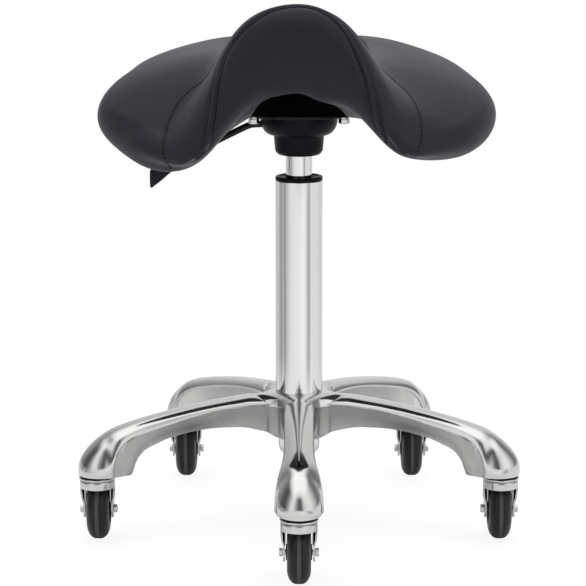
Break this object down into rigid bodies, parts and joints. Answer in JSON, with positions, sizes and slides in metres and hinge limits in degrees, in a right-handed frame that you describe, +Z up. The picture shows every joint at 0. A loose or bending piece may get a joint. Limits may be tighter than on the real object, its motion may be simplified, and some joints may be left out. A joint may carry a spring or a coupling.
{
  "type": "saddle stool",
  "caption": "Height-adjustable saddle stool: padded saddle seat on a gas lift over a polished five-star base with swivel casters.",
  "frame": {"origin": "middle of the stool's outline, on the floor; the lift column stands 9.3 mm behind it", "axes": "+Z up; the stool faces -Y; +X is on its right in the picture, the lever is on the -X side"},
  "size_m": [0.465, 0.467, 0.5661],
  "materials": {
    "polished_aluminium": "polished",
    "chrome": "mirror",
    "zinc": "plated",
    "dark_steel": "black coat",
    "bearing_steel": "ground",
    "black_plastic": "fine grain",
    "tread": "satin",
    "leather": "satin"
  },
  "bodies": {
    "base": {"base_casting": "polished_aluminium", "outer_tube": "chrome", "guide_bush": "black_plastic", "caster_stem_front": "zinc", "caster_stem_right": "zinc", "caster_stem_rear_right": "zinc", "caster_stem_rear_left": "zinc", "caster_stem_left": "zinc", "caster_washer_front": "black_plastic", "caster_washer_right": "black_plastic", "caster_washer_rear_right": "black_plastic", "caster_washer_rear_left": "black_plastic", "caster_washer_left": "black_plastic"},
    "lift_rod": {"piston_rod": "chrome", "piston": "bearing_steel", "thrust_bearing": "bearing_steel", "retaining_clip": "bearing_steel"},
    "seat": {"gas_cylinder": "chrome", "cylinder_gland": "bearing_steel", "bell_housing": "black_plastic", "seat_plate": "dark_steel", "seat_bolt_front_left": "zinc", "seat_bolt_front_right": "zinc", "seat_bolt_rear_left": "zinc", "seat_bolt_rear_right": "zinc", "seat_pan": "black_plastic", "seat_cushion": "leather", "lever_pin": "bearing_steel"},
    "lever": {"lever_arm": "dark_steel", "lever_grip": "black_plastic"},
    "valve": {"valve_pin": "dark_steel"},
    "fork_front": {"fork_front": "zinc", "axle_bolt_front": "zinc", "axle_nut_front": "zinc"},
    "wheel_front": {"wheel_core_front": "black_plastic", "tyre_front": "tread"},
    "fork_right": {"fork_right": "zinc", "axle_bolt_right": "zinc", "axle_nut_right": "zinc"},
    "wheel_right": {"wheel_core_right": "black_plastic", "tyre_right": "tread"},
    "fork_rear_right": {"fork_rear_right": "zinc", "axle_bolt_rear_right": "zinc", "axle_nut_rear_right": "zinc"},
    "wheel_rear_right": {"wheel_core_rear_right": "black_plastic", "tyre_rear_right": "tread"},
    "fork_rear_left": {"fork_rear_left": "zinc", "axle_bolt_rear_left": "zinc", "axle_nut_rear_left": "zinc"},
    "wheel_rear_left": {"wheel_core_rear_left": "black_plastic", "tyre_rear_left": "tread"},
    "fork_left": {"fork_left": "zinc", "axle_bolt_left": "zinc", "axle_nut_left": "zinc"},
    "wheel_left": {"wheel_core_left": "black_plastic", "tyre_left": "tread"}
  },
  "joints": [
    {"name": "seat_swivel", "type": "hinge", "parent": "base", "child": "lift_rod", "pos_m": [0, 0.00929, 0.09], "axis": [0, 0, 1], "continuous": true},
    {"name": "seat_lift", "type": "slide", "parent": "lift_rod", "child": "seat", "axis": [0, 0, 1], "range_m": [0, 0.18]},
    {"name": "lever_lift", "type": "hinge", "parent": "seat", "child": "lever", "pos_m": [-0.025, 0.00929, 0.4332], "axis": [0, 1, 0], "range_deg": [0, 6.4], "stiffness_Nm_per_rad": 2},
    {"name": "valve_press", "type": "slide", "parent": "seat", "child": "valve", "axis": [0, 0, -1], "range_m": [0, 0.003]},
    {"name": "caster_swivel_front", "type": "hinge", "parent": "base", "child": "fork_front", "pos_m": [0, -0.21371, 0.0655], "axis": [0, 0, 1], "continuous": true},
    {"name": "wheel_roll_front", "type": "hinge", "parent": "fork_front", "child": "wheel_front", "pos_m": [0, -0.2017, 0.03175], "axis": [1, 0, 0], "continuous": true},
    {"name": "caster_swivel_right", "type": "hinge", "parent": "base", "child": "fork_right", "pos_m": [0.21209, -0.05962, 0.0655], "axis": [0, 0, 1], "continuous": true},
    {"name": "wheel_roll_right", "type": "hinge", "parent": "fork_right", "child": "wheel_right", "pos_m": [0.21209, -0.04762, 0.03175], "axis": [1, 0, 0], "continuous": true},
    {"name": "caster_swivel_rear_right", "type": "hinge", "parent": "base", "child": "fork_rear_right", "pos_m": [0.13108, 0.18971, 0.0655], "axis": [0, 0, 1], "continuous": true},
    {"name": "wheel_roll_rear_right", "type": "hinge", "parent": "fork_rear_right", "child": "wheel_rear_right", "pos_m": [0.13108, 0.2017, 0.03175], "axis": [1, 0, 0], "continuous": true},
    {"name": "caster_swivel_rear_left", "type": "hinge", "parent": "base", "child": "fork_rear_left", "pos_m": [-0.13108, 0.18971, 0.0655], "axis": [0, 0, 1], "continuous": true},
    {"name": "wheel_roll_rear_left", "type": "hinge", "parent": "fork_rear_left", "child": "wheel_rear_left", "pos_m": [-0.13108, 0.2017, 0.03175], "axis": [1, 0, 0], "continuous": true},
    {"name": "caster_swivel_left", "type": "hinge", "parent": "base", "child": "fork_left", "pos_m": [-0.21209, -0.05962, 0.0655], "axis": [0, 0, 1], "continuous": true},
    {"name": "wheel_roll_left", "type": "hinge", "parent": "fork_left", "child": "wheel_left", "pos_m": [-0.21209, -0.04762, 0.03175], "axis": [1, 0, 0], "continuous": true}
  ],
  "couplings": [
    {"joint": "valve_press", "follows": "lever_lift", "m_per_rad": 0.0265}
  ]
}
